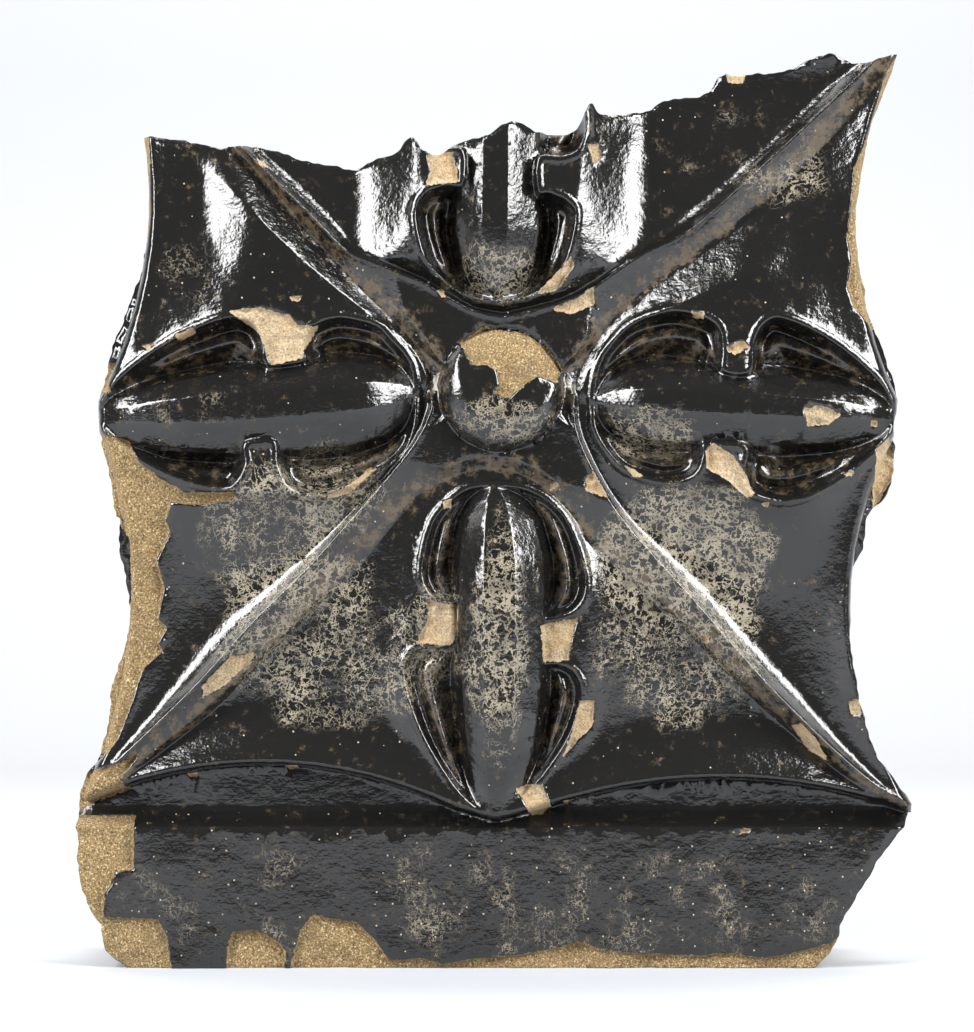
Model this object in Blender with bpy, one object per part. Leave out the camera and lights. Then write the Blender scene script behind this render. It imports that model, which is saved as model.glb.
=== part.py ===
"""Black-glazed terracotta roof ornament tile, a broken fragment of a cresting block.

One fired piece: a plain band along the foot, a square four-petal flower above it, and a hollow
back with a foot slab and two upright webs. The front and the back are two relief surfaces over
one outline. Lengths in the tables are millimetres: x to the right, z up from the band's top edge,
heights out of the wall.
"""

import math

import bmesh
import bpy
import numpy as np

MM = 0.001

# Block
BLOCK_DEPTH = 100.0
RELIEF_HEIGHT = 30.0
SHELL_THICKNESS = 28.0
FOOT_THICKNESS = 28.0
WEB_THICKNESS = 26.0
WEB_SPACING = 180.0
WEB_BREAK_HEIGHT = 318.0
WEB_BREAK_STEP = 42.0
WEB_BREAK_SLOPE = 24.0
CELL_DRAFT = 6.0
CELL_FILLET = 9.0
FILLET_DEPTH = 4.5

# Band at the foot and the cove over it
BAND_HEIGHT = 60.5
BAND_RELIEF = 10.0
COVE_HEIGHT = 9.0

# Levels of the flower above the wall face
CROSS_LEVEL = 17.0
RIB_DROP = 5.0
BEVEL_WIDTH = 5.0
RIB_MERGE_WIDTH = 22.0
RIB_MERGE_RANGE = 8.0
CREST_BEAD = 0.9
CREST_BEAD_WIDTH = 1.8
RIM_BEAD = 0.8
RIM_BEAD_WIDTH = 3.2
ROLL_WIDTH = 13.0
ROLL_SPAN = 30.0
PETAL_FALL = 3.0
DISH_START = 18.0
DISH_RANGE = 40.0
SWEEP_SHARE = 0.42
SIDE_BLEND = 12.0
LIP_LEVEL = 19.0
LIP_WIDTH = 22.0
EDGE_ROLL = 4.5
HOLLOW_FLOOR = 4.0
HOLLOW_WALL = 5.0
LEAF_HEIGHT = 9.0
LEAF_FULL_WIDTH = 17.0

# Bud down the middle of each petal; its widths are shares of the petal's length
BUD_LEVEL = 27.0
BUD_TIP_LEVEL = 15.0
BUD_FACET_DROP = 10.0
CUSP_REACH = 0.118

# Boss in the centre, with its upper part chipped flat
BOSS_CENTRE = (2.8, 187.2)
BOSS_RADIUS = 26.7
BOSS_LEVEL = 29.0
BOSS_BASE = 14.0
BOSS_CHIP_DEPTH = 2.5
BOSS_CHIP_REACH = 24.0
BOSS_CHIP_OFFSET = (4.0, 12.0)
BOSS_CHIP_SOFTNESS = 8.0

# Ends of the foot: x, and height as a share of the band's height
RIGHT_FOOT = ((137.5, 0.0), (146.5, 0.163), (148.5, 0.313), (153.5, 0.455), (163.0, 0.739), (172.0, 0.924))
LEFT_FOOT = ((-157.5, 0.0), (-166.5, 0.121), (-168.5, 0.277), (-174.0, 0.419), (-178.5, 0.697), (-178.5, 0.90))

# Broken outline of the flower, heights above the band
RIGHT_EDGE = ((179.0, 8.5), (172.0, 18.5), (164.5, 30.0), (158.5, 45.0), (153.5, 67.0), (152.5, 86.5),
              (154.0, 110.0), (159.5, 121.0), (161.5, 134.0), (170.0, 144.5), (172.5, 162.0), (171.0, 170.5),
              (173.0, 183.5), (170.0, 197.0), (161.5, 222.0), (156.0, 247.0), (154.5, 256.0), (156.5, 273.5),
              (160.5, 295.0), (168.0, 316.0), (172.0, 330.5))
TOP_EDGE = ((-150.5, 295.5), (-134.5, 294.0), (-113.5, 291.0), (-98.0, 291.0), (-83.0, 286.5), (-61.5, 282.0),
            (-52.0, 286.0), (-43.0, 288.0), (-35.5, 294.0), (-30.0, 288.0), (-22.5, 287.5), (-15.5, 292.5),
            (-3.0, 295.0), (8.5, 301.0), (19.0, 297.5), (33.5, 297.5), (41.0, 308.5), (46.0, 305.0),
            (63.5, 306.5), (74.0, 311.5), (92.0, 315.5), (97.0, 322.0), (110.5, 322.5), (128.0, 325.5),
            (143.0, 331.0), (153.5, 327.0), (162.5, 328.5), (172.0, 330.5))
LEFT_EDGE = ((-180.0, 2.0), (-178.0, 15.5), (-171.0, 33.0), (-166.5, 59.5), (-160.5, 80.0), (-159.5, 99.5),
             (-164.0, 119.5), (-164.0, 141.0), (-169.0, 162.0), (-170.0, 173.5), (-168.5, 190.0),
             (-164.5, 207.0), (-156.5, 225.5), (-151.0, 245.5), (-148.5, 263.0), (-149.5, 282.0),
             (-150.5, 295.5))
BREAK_ROUGHNESS = 0.8
BREAK_DEPTH = 2.2
BREAK_CLEAR = 12.0

# Edge of the flower: start and end of each arc, and how far the arc bows towards the centre
FLOWER_EDGE = (((-171.0, 355.5), (-170.5, 182.5), 22.0),
               ((-170.0, 169.5), (-177.0, 13.5), 16.0),
               ((-175.0, 10.5), (-16.0, 6.5), 17.5),
               ((-1.0, 2.0), (2.0, 2.0), 0.0),
               ((20.0, 7.0), (179.0, 5.5), 13.5),
               ((179.5, 10.5), (172.0, 167.5), 22.5),
               ((173.5, 183.5), (179.0, 339.5), 20.0))

# Petals. The first of each pair is the side to the left of the axis, seen along it.
# hollow: inner lobe's width and place, cusp's start and end, outer lobe's width and place, as shares
# of the axis; bud: places of its two edges and two arrises across the axis; rim: its levels along the
# axis; flank: how far it rolls down beside the rim, and how deep it is dished; slope: how its two
# sides fall away, swelling below 1 and hollow above; arch: line where the cross of ribs meets the
# petal, from the axis to the corner; sweep: how wide the flank sweeps up to that line where it is a
# crest, or 0 where it is a groove.
PETALS = {
    "north": {
        "axis": ((2.0, 225.0), (3.5, 357.5)),
        "hollow": ((0.27, 0.27, 0.37, 0.48, 0.27, 0.62), (0.24, 0.27, 0.35, 0.46, 0.27, 0.60)),
        "bud": (0.14, 0.058, 0.023, 0.125),
        "rim": (22.0, 25.5, 25.0, 19.0),
        "flank": (0.0, 4.5),
        "slope": (1.8, 1.8),
        "arch": (((3.0, 218.5), (-9.5, 221.5), (-24.0, 229.5), (-34.5, 235.0), (-50.5, 241.0), (-63.5, 247.0),
                  (-78.5, 262.0), (-108.5, 291.5), (-171.0, 356.0)),
                 ((3.0, 218.5), (15.0, 221.0), (31.0, 225.5), (43.0, 231.5), (63.5, 245.0), (85.0, 256.5),
                  (115.0, 283.0), (149.5, 315.5), (177.5, 342.5))),
        "sweep": (9.0, 10.0)},
    "east": {
        "axis": ((42.8, 182.5), (172.2, 175.5)),
        "hollow": ((0.305, 0.25, 0.41, 0.505, 0.30, 0.60), (0.25, 0.24, 0.365, 0.50, 0.29, 0.65)),
        "bud": (0.125, 0.05, 0.02, 0.12),
        "rim": (22.0, 25.5, 25.0, 19.0),
        "flank": (0.0, 4.0),
        "slope": (0.6, 1.7),
        "arch": (((34.0, 185.5), (36.5, 195.5), (46.0, 211.5), (61.5, 227.5), (85.0, 245.5), (108.5, 263.5),
                  (153.5, 308.0), (178.0, 336.0)),
                 ((34.0, 185.5), (34.5, 172.5), (40.5, 156.5), (55.0, 131.5), (85.0, 97.5), (119.5, 58.5),
                  (158.0, 22.0), (179.0, 10.0))),
        "sweep": (0.0, 21.0)},
    "south": {
        "axis": ((-1.0, 146.0), (-0.5, 5.0)),
        "hollow": ((0.28, 0.29, 0.40, 0.535, 0.265, 0.65), (0.21, 0.25, 0.355, 0.475, 0.265, 0.58)),
        "bud": (0.155, 0.067, 0.027, 0.10),
        "rim": (16.5, 19.5, 20.5, 17.5),
        "flank": (1.5, 0.0),
        "slope": (0.85, 0.85),
        "arch": (((0.0, 154.0), (9.5, 152.0), (24.0, 143.5), (42.0, 124.0), (80.5, 88.5), (115.0, 54.5),
                  (153.5, 22.0), (177.5, 8.5)),
                 ((0.0, 154.0), (-9.5, 153.0), (-22.5, 148.0), (-40.0, 137.0), (-59.0, 114.5), (-78.5, 95.0),
                  (-119.5, 54.5), (-143.0, 35.0), (-175.0, 10.5))),
        "sweep": (0.0, 0.0)},
    "west": {
        "axis": ((-34.2, 186.8), (-170.0, 175.5)),
        "hollow": ((0.295, 0.33, 0.445, 0.54, 0.25, 0.63), (0.245, 0.22, 0.335, 0.455, 0.27, 0.57)),
        "bud": (0.155, 0.05, 0.04, 0.11),
        "rim": (22.0, 25.5, 25.0, 19.0),
        "flank": (0.0, 4.0),
        "slope": (1.7, 0.6),
        "arch": (((-27.0, 185.5), (-27.5, 177.5), (-37.5, 159.5), (-61.5, 131.5), (-78.5, 112.5), (-104.5, 86.5),
                  (-130.0, 58.5), (-177.5, 12.5)),
                 ((-27.0, 185.5), (-27.5, 195.0), (-35.5, 209.0), (-57.0, 230.5), (-83.0, 258.5),
                  (-110.5, 291.0), (-174.0, 355.5))),
        "sweep": (21.0, 0.0)},
}
FAR = 400.0

# Mesh
GRID_COLUMNS = 220
GRID_ROWS = 240
SIDE_ROWS = 6
TRIANGLE_BUDGET = 9600
SHARP_ANGLE = math.radians(50.0)

GLAZE_COLOUR = (0.012, 0.011, 0.010, 1.0)
GLAZE_ROUGHNESS = 0.22


def ease(t):
    """Smooth step from 0 to 1."""
    t = np.clip(t, 0.0, 1.0)
    return t * t * (3.0 - 2.0 * t)


def spline(points, steps=8):
    """Catmull-Rom curve through the points."""
    points = np.array(points, dtype=float)
    padded = np.vstack((2 * points[0] - points[1], points, 2 * points[-1] - points[-2]))
    t = np.linspace(0.0, 1.0, steps, endpoint=False)[:, None]
    curve = []
    for a, b, c, d in zip(padded, padded[1:], padded[2:], padded[3:]):
        curve.append(0.5 * (2 * b + (c - a) * t + (2 * a - 5 * b + 4 * c - d) * t ** 2
                            + (3 * b - a - 3 * c + d) * t ** 3))
    curve.append(points[-1:])
    return np.vstack(curve)


def arc(start, end, bow, steps=14):
    """Shallow arc between two points, bowing to the left of its direction."""
    start, end = np.array(start), np.array(end)
    along = end - start
    left = np.array((-along[1], along[0])) / np.hypot(*along)
    t = np.linspace(0.0, 1.0, steps)[:, None]
    return start + along * t + left * bow * 4.0 * t * (1.0 - t)


def path_distance(x, z, path):
    """Distance from every point to an open path."""
    best = np.full(x.shape, FAR * FAR)
    for (ax, az), (bx, bz) in zip(path, path[1:]):
        dx, dz = bx - ax, bz - az
        length = max(dx * dx + dz * dz, 1e-9)
        t = np.clip(((x - ax) * dx + (z - az) * dz) / length, 0.0, 1.0)
        best = np.minimum(best, (x - ax - t * dx) ** 2 + (z - az - t * dz) ** 2)
    return np.sqrt(best)


def inside(x, z, ring):
    """Whether each point lies within a closed ring."""
    hit = np.zeros(x.shape, dtype=bool)
    for (ax, az), (bx, bz) in zip(ring, np.roll(ring, -1, axis=0)):
        if az != bz:
            hit ^= ((az > z) != (bz > z)) & (x < ax + (z - az) * (bx - ax) / (bz - az))
    return hit


def signed_distance(x, z, ring):
    """Distance to a closed ring, positive within it."""
    distance = path_distance(x, z, np.vstack((ring, ring[:1])))
    return np.where(inside(x, z, ring), distance, -distance)


def petal_frame(petal):
    """Inner end, direction, leftward direction and length of a petal's axis."""
    start, tip = (np.array(end) for end in petal["axis"])
    length = np.hypot(*(tip - start))
    along = (tip - start) / length
    return start, along, np.array((-along[1], along[0])), length


def half_hollow(inner_width, inner_place, cusp_start, cusp_end, outer_width, outer_place):
    """Stations of one side of a hollow as (share along, share across)."""
    return ((0.0, 0.0), (0.012, 0.36 * inner_width), (0.06, 0.66 * inner_width),
            (0.5 * inner_place, 0.87 * inner_width), (inner_place, inner_width),
            (cusp_start - 0.035, 0.90 * inner_width), (cusp_start - 0.006, 0.66 * inner_width),
            (cusp_start, CUSP_REACH), (cusp_end, CUSP_REACH), (cusp_end + 0.006, 0.72 * outer_width),
            (cusp_end + 0.035, 0.93 * outer_width), (outer_place, outer_width),
            (0.5 * (outer_place + 0.93), 0.78 * outer_width), (0.93, 0.36 * outer_width), (1.0, 0.0))


def hollow_ring(petal, cusped=True):
    """Closed outline of a petal's hollow, with its cusps or bridged smoothly over them."""
    start, along, across, length = petal_frame(petal)
    sides = []
    for stations, side in zip(petal["hollow"], (1.0, -1.0)):
        half = half_hollow(*stations)
        curve = spline(half if cusped else half[:5] + half[11:], steps=5)
        sides.append(start + length * (curve[:, :1] * along + side * curve[:, 1:] * across))
    return np.vstack((sides[0], sides[1][-2:0:-1]))


def petal_region(petal):
    """Closed ring round everything on a petal's side of its arch."""
    _, along, _, _ = petal_frame(petal)
    left, right = (spline(half) for half in petal["arch"])
    return np.vstack((left[::-1], right[1:], right[-1:] + along * FAR, left[-1:] + along * FAR))


def bud_height(petal, a, b, length):
    """Height of the faceted bud at places a and b along and across its axis, and distance beside it."""
    edge_left, arris_left, arris_right, edge_right = petal["bud"]
    swell = np.interp(a, (-0.01, 0.01, 0.04, 0.10, 0.22, 0.55, 0.80, 0.94, 1.0, 1.02),
                      (0.0, 0.30, 0.58, 0.82, 1.0, 0.98, 0.78, 0.50, 0.34, 0.0))
    edge = np.where(b > 0.0, edge_left, edge_right) * swell
    arris = np.where(b > 0.0, arris_left, arris_right) * swell
    crown = BUD_LEVEL * np.interp(a, (0.0, 0.04, 0.10, 0.18, 0.30, 0.75, 1.0),
                                  (0.45, 0.64, 0.82, 0.94, 1.0, 0.96, BUD_TIP_LEVEL / BUD_LEVEL))
    across = np.abs(b)
    facet = np.clip((across - arris) / np.maximum(edge - arris, 1e-6), 0.0, 1.0)
    top = crown - BUD_FACET_DROP * swell * facet
    wall = np.clip((across - edge) * length / HOLLOW_WALL, 0.0, 1.0)
    height = top - (top - HOLLOW_FLOOR) * wall ** 0.8
    return np.where((swell > 0.0) & (wall < 1.0), height, -FAR), np.maximum(across - edge, 0.0) * length


def petal_height(petal, x, z):
    """Height of a petal: flanks, rim, hollow with its leaves, and bud."""
    start, along, across, length = petal_frame(petal)
    a = ((x - start[0]) * along[0] + (z - start[1]) * along[1]) / length
    b = ((x - start[0]) * across[0] + (z - start[1]) * across[1]) / length
    from_arch = np.minimum(*(path_distance(x, z, spline(half)) for half in petal["arch"]))
    from_hollow = -signed_distance(x, z, hollow_ring(petal))
    rim = np.interp(a, (0.0, 0.25, 0.6, 1.0), petal["rim"])
    roll_drop, dish_depth = petal["flank"]
    left = ease(b * length / SIDE_BLEND + 0.5)
    slope = left * petal["slope"][0] + (1.0 - left) * petal["slope"][1]
    sweep_width = left * petal["sweep"][0] + (1.0 - left) * petal["sweep"][1]
    crested = left * (petal["sweep"][0] > 0.0) + (1.0 - left) * (petal["sweep"][1] > 0.0)

    outside = np.maximum(-signed_distance(x, z, hollow_ring(petal, cusped=False)), 0.0)
    span = outside + from_arch
    t = outside / np.maximum(span, 1e-6)
    wide = ease((span - DISH_START) / DISH_RANGE)
    valley = CROSS_LEVEL - RIB_DROP - PETAL_FALL * ease(a)
    roll = roll_drop * ease(outside / ROLL_WIDTH) * ease(span / ROLL_SPAN)
    flank = valley + (rim - roll - valley) * (1.0 - t) ** slope
    flank -= crested * dish_depth * wide * 4.0 * t * (1.0 - t)
    reach = np.maximum(np.minimum(SWEEP_SHARE * span, sweep_width), BEVEL_WIDTH / 2.0)
    sweep = np.clip(1.0 - from_arch / reach, 0.0, 1.0)
    ramp = np.clip(1.0 - from_arch / (BEVEL_WIDTH / 2.0), 0.0, 1.0)
    flank += crested * (CROSS_LEVEL - valley) * sweep ** 2.2
    flank += (1.0 - crested) * (CROSS_LEVEL - RIB_DROP - valley) * ramp
    bead = np.clip(1.0 - (np.maximum(from_hollow, 0.0) / RIM_BEAD_WIDTH - 0.5) ** 2 * 4.0, 0.0, 1.0)
    flank += RIM_BEAD * np.sqrt(bead)

    bud, beside = bud_height(petal, a, b, length)
    within = np.maximum(-from_hollow, 0.0)
    place = beside / np.maximum(beside + within, 1e-6)
    leaf = LEAF_HEIGHT * np.exp(-((place - 0.6) / 0.24) ** 2) * ease((beside + within) / LEAF_FULL_WIDTH)
    floor = HOLLOW_FLOOR + leaf
    hollow = rim - (rim - floor) * np.clip(within / HOLLOW_WALL, 0.0, 1.0) ** 0.7
    return np.maximum(np.where(from_hollow > 0.0, flank, hollow), bud)


def flower_height(x, z):
    """Height of the flower's surface, before its outer edge is rolled over."""
    from_crest = np.full(x.shape, FAR)
    from_groove = np.full(x.shape, FAR)
    for petal in PETALS.values():
        for half, sweep_width in zip(petal["arch"], petal["sweep"]):
            distance = path_distance(x, z, spline(half))
            if sweep_width > 0.0:
                from_crest = np.minimum(from_crest, distance)
            else:
                from_groove = np.minimum(from_groove, distance)
    total = from_crest + from_groove
    narrow = ease((RIB_MERGE_WIDTH - total) / RIB_MERGE_RANGE)
    strip = BEVEL_WIDTH + (total - BEVEL_WIDTH) * narrow
    height = CROSS_LEVEL - RIB_DROP * np.clip(1.0 - from_groove / strip, 0.0, 1.0)
    for petal in PETALS.values():
        here = inside(x, z, petal_region(petal))
        height[here] = petal_height(petal, x[here], z[here])
    return height + CREST_BEAD * np.exp(-(from_crest / CREST_BEAD_WIDTH) ** 2)


def boss_height(x, z):
    """Height of the central boss, a dome whose upper part is chipped to a flat."""
    radius = np.hypot(x - BOSS_CENTRE[0], z - BOSS_CENTRE[1])
    share = np.clip(radius / BOSS_RADIUS, 0.0, 1.0)
    dome = BOSS_BASE + (BOSS_LEVEL - BOSS_BASE) * np.sqrt(1.0 - share ** 2.4)
    from_chip = np.hypot(x - BOSS_CENTRE[0] - BOSS_CHIP_OFFSET[0], z - BOSS_CENTRE[1] - BOSS_CHIP_OFFSET[1])
    return dome - BOSS_CHIP_DEPTH * ease((BOSS_CHIP_REACH - from_chip) / BOSS_CHIP_SOFTNESS), radius


def front_height(x, z):
    """Height of the front above the wall face."""
    z = z - BAND_HEIGHT
    wall = BAND_RELIEF * (1.0 - np.clip(z / COVE_HEIGHT, 0.0, 1.0)) ** 2.2
    ring = np.vstack([arc(start, end, bow) for start, end, bow in FLOWER_EDGE])
    edge = signed_distance(x, z, ring)
    flower = flower_height(x, z)
    lip = np.clip(1.0 - edge / LIP_WIDTH, 0.0, 1.0) ** 2
    flower += np.maximum(LIP_LEVEL - flower, 0.0) * lip
    boss, radius = boss_height(x, z)
    flower = np.where(radius < BOSS_RADIUS, boss, flower)
    roll = np.sqrt(1.0 - (1.0 - np.clip(edge / EDGE_ROLL, 0.0, 1.0)) ** 2)
    return np.maximum(wall, flower * roll)


def back_depth(x, z):
    """How far the back stands behind the wall face: shell, foot and two webs."""
    rise = BLOCK_DEPTH - RELIEF_HEIGHT - SHELL_THICKNESS
    raised = 1.0 - np.clip((z - FOOT_THICKNESS) / CELL_DRAFT + 0.5, 0.0, 1.0)
    for side in (-1.0, 1.0):
        beyond = np.abs(x - side * WEB_SPACING / 2.0) - WEB_THICKNESS / 2.0
        web = 1.0 - np.clip(beyond / CELL_DRAFT + 0.5, 0.0, 1.0)
        top = WEB_BREAK_HEIGHT + side * WEB_BREAK_STEP / 2.0
        raised = np.maximum(raised, web * (1.0 - np.clip((z - top) / WEB_BREAK_SLOPE, 0.0, 1.0)))
    fillet = FILLET_DEPTH * np.exp(-np.maximum(z - FOOT_THICKNESS, 0.0) / CELL_FILLET)
    return SHELL_THICKNESS + np.maximum(rise * raised, fillet)


def ragged(count, seed):
    """Repeatable roughness along a broken edge, about -1 to 1, and 0 at both ends."""
    rng = np.random.default_rng(seed)
    t = np.linspace(0.0, 1.0, count)
    total = np.zeros(count)
    for waves in (9, 17, 31, 53, 79):
        total += math.sqrt(9.0 / waves) * np.sin(2.0 * math.pi * (waves * t + rng.random()))
    return 0.45 * total * np.minimum(1.0, 30.0 * t * (1.0 - t))


def even_curve(points, count):
    """A spline through the points, resampled to evenly spaced places."""
    curve = spline(points)
    travelled = np.concatenate(([0.0], np.cumsum(np.hypot(*np.diff(curve, axis=0).T))))
    places = np.linspace(0.0, travelled[-1], count)
    return np.stack([np.interp(places, travelled, curve[:, k]) for k in (0, 1)], axis=1)


def over_band(points):
    """Points whose heights are given above the band, in the block's own heights."""
    return [(x, z + BAND_HEIGHT) for x, z in points]


def along_band(points):
    """Points whose heights are given as shares of the band's height."""
    return [(x, z * BAND_HEIGHT) for x, z in points]


def outline_grid(columns, rows):
    """Grid of (x, z) points that fills the outline between its four edges."""
    left = even_curve(along_band(LEFT_FOOT) + over_band(LEFT_EDGE), rows)
    right = even_curve(along_band(RIGHT_FOOT) + over_band(RIGHT_EDGE), rows)
    top = even_curve(over_band(TOP_EDGE), columns)
    left[:, 0] += BREAK_ROUGHNESS * ragged(rows, 1)
    right[:, 0] += BREAK_ROUGHNESS * ragged(rows, 2)
    top[:, 1] += BREAK_ROUGHNESS * ragged(columns, 3)
    foot = np.stack((np.linspace(left[0, 0], right[0, 0], columns), np.zeros(columns)), axis=1)
    u = np.linspace(0.0, 1.0, columns)[None, :, None]
    v = np.linspace(0.0, 1.0, rows)[:, None, None]
    blend = (1 - v) * foot[None] + v * top[None] + (1 - u) * left[:, None] + u * right[:, None]
    corners = (1 - u) * (1 - v) * left[0] + u * (1 - v) * right[0] + (1 - u) * v * left[-1] + u * v * right[-1]
    grid = blend - corners
    return grid[..., 0], grid[..., 1]


def rim_indices(rows, columns):
    """Grid places round the outline, counter-clockwise seen from the front."""
    foot = [(0, c) for c in range(columns - 1)]
    right = [(r, columns - 1) for r in range(rows - 1)]
    top = [(rows - 1, c) for c in range(columns - 1, 0, -1)]
    left = [(r, 0) for r in range(rows - 1, 0, -1)]
    return foot + right + top + left


def build_mesh(name):
    """The closed body: front and back sheets, and the broken sides between them."""
    x, z = outline_grid(GRID_COLUMNS, GRID_ROWS)
    wall_face = -BLOCK_DEPTH / 2.0 + RELIEF_HEIGHT
    front = wall_face - front_height(x, z)
    back = wall_face + back_depth(x, z)
    points = [np.stack((x, front, z), axis=-1).reshape(-1, 3), np.stack((x, back, z), axis=-1).reshape(-1, 3)]

    rim = rim_indices(GRID_ROWS, GRID_COLUMNS)
    rim_rows = np.array([place[0] for place in rim])
    rim_columns = np.array([place[1] for place in rim])
    loop = np.stack((x[rim_rows, rim_columns], z[rim_rows, rim_columns]), axis=1)
    tangent = np.roll(loop, -1, axis=0) - np.roll(loop, 1, axis=0)
    inward = np.stack((-tangent[:, 1], tangent[:, 0]), axis=1)
    inward /= np.maximum(np.hypot(*inward.T), 1e-9)[:, None]
    clear_of_foot = ease(loop[:, 1] / BREAK_CLEAR)[:, None]
    front_rim = front[rim_rows, rim_columns]
    back_rim = back[rim_rows, rim_columns]
    for row in range(1, SIDE_ROWS):
        share = row / SIDE_ROWS
        depth = BREAK_DEPTH * math.sin(math.pi * share) * (0.5 + 0.5 * ragged(len(rim), 10 + row))[:, None]
        place = loop + inward * depth * clear_of_foot
        level = front_rim + (back_rim - front_rim) * share
        points.append(np.stack((place[:, 0], level, place[:, 1]), axis=1))

    count = GRID_ROWS * GRID_COLUMNS
    index = np.arange(count).reshape(GRID_ROWS, GRID_COLUMNS)
    quads = np.stack((index[:-1, :-1], index[:-1, 1:], index[1:, 1:], index[1:, :-1]), axis=-1).reshape(-1, 4)
    faces = [quads, quads[:, ::-1] + count]
    ring = index[rim_rows, rim_columns]
    levels = [ring] + [2 * count + len(rim) * row + np.arange(len(rim)) for row in range(SIDE_ROWS - 1)]
    levels.append(ring + count)
    for near, far in zip(levels, levels[1:]):
        faces.append(np.stack((near, far, np.roll(far, -1), np.roll(near, -1)), axis=1))

    points = np.vstack(points)
    middle = (points.min(axis=0) + points.max(axis=0)) / 2.0
    points -= (middle[0], middle[1], 0.0)
    mesh = bpy.data.meshes.new(name)
    mesh.from_pydata((points * MM).tolist(), [], np.vstack(faces).tolist())
    body = bmesh.new()
    body.from_mesh(mesh)
    bmesh.ops.triangulate(body, faces=body.faces)
    body.to_mesh(mesh)
    body.free()
    return mesh


def glaze_material():
    """Black lead glaze over fired clay."""
    material = bpy.data.materials.new("black_glaze")
    material.use_nodes = True
    shader = material.node_tree.nodes["Principled BSDF"]
    shader.inputs["Base Color"].default_value = GLAZE_COLOUR
    shader.inputs["Roughness"].default_value = GLAZE_ROUGHNESS
    shader.inputs["Metallic"].default_value = 0.0
    return material


def clear_scene():
    for item in list(bpy.data.objects):
        bpy.data.objects.remove(item, do_unlink=True)


def build_tile():
    mesh = build_mesh("ornament_tile")
    mesh.materials.append(glaze_material())
    tile = bpy.data.objects.new("ornament_tile", mesh)
    bpy.context.scene.collection.objects.link(tile)
    reduce = tile.modifiers.new("reduce", "DECIMATE")
    reduce.ratio = TRIANGLE_BUDGET / len(mesh.polygons)
    mesh.shade_smooth()
    mesh.set_sharp_from_angle(angle=SHARP_ANGLE)
    return tile


clear_scene()
build_tile()
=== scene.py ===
"""Looks of the black-glazed roof ornament tile: fine relief, glaze, bare clay, studio and camera.

Lengths of the block and its relief are millimetres: x to the right, z up from the band's top edge in
the tables, heights out of the wall.
"""
import math

import bpy
import numpy as np
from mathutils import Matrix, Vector


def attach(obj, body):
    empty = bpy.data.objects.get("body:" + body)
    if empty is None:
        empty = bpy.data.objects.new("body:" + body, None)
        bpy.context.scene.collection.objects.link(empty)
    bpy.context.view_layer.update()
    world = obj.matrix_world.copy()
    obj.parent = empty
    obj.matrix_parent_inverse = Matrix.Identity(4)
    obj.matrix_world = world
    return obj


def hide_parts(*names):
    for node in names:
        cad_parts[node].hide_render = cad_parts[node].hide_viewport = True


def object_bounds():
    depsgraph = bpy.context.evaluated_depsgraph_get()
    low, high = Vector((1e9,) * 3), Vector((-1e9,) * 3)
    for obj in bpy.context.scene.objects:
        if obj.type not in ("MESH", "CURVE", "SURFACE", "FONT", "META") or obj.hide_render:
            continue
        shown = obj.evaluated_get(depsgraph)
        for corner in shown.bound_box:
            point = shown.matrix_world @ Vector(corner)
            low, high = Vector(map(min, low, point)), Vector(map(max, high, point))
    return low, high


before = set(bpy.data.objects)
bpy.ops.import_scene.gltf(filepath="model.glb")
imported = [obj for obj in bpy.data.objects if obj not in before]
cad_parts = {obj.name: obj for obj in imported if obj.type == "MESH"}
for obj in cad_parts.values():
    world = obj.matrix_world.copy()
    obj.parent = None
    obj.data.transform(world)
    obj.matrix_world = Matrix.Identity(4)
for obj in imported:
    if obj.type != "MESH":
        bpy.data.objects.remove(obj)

CAD_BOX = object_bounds()

MM = 0.001

# Block
BLOCK_DEPTH = 100.0
RELIEF_HEIGHT = 30.0
SHELL_THICKNESS = 28.0
FOOT_THICKNESS = 28.0
WEB_THICKNESS = 26.0
WEB_SPACING = 180.0
WEB_BREAK_HEIGHT = 318.0
WEB_BREAK_STEP = 42.0
WEB_BREAK_SLOPE = 24.0
CELL_DRAFT = 6.0
CELL_FILLET = 9.0
FILLET_DEPTH = 4.5

# Band at the foot and the cove over it
BAND_HEIGHT = 60.5
BAND_RELIEF = 10.0
COVE_HEIGHT = 9.0
COVE_CURVE = 2.2

# Levels of the flower above the wall face
CROSS_LEVEL = 17.0
RIB_DROP = 5.0
BEVEL_WIDTH = 5.0
RIB_MERGE_WIDTH = 22.0
RIB_MERGE_RANGE = 8.0
CREST_BEAD = 0.9
CREST_BEAD_WIDTH = 1.8
RIM_BEAD = 0.8
RIM_BEAD_WIDTH = 3.2
ROLL_WIDTH = 13.0
ROLL_SPAN = 70.0
DISH_START = 18.0
DISH_RANGE = 40.0
SWEEP_SHARE = 0.26
SWEEP_POWER = 3.2
BULGE_START = 30.0
BULGE_FOOT = 12.0
PILLOW_END = 0.54
PILLOW_FADE = 0.22
SOFTEN = (-0.06, -0.03, 0.0, 0.03, 0.06)
SIDE_BLEND = 12.0
LIP_LEVEL = 19.0
LIP_WIDTH = 30.0
EDGE_ROLL = 4.5
HOLLOW_FLOOR = 4.0
HOLLOW_WALL = 5.0
LEAF_HEIGHT = 9.0
LEAF_FULL_WIDTH = 17.0
LEAF_PLACE = 0.6
LEAF_SPREAD = 0.24

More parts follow.
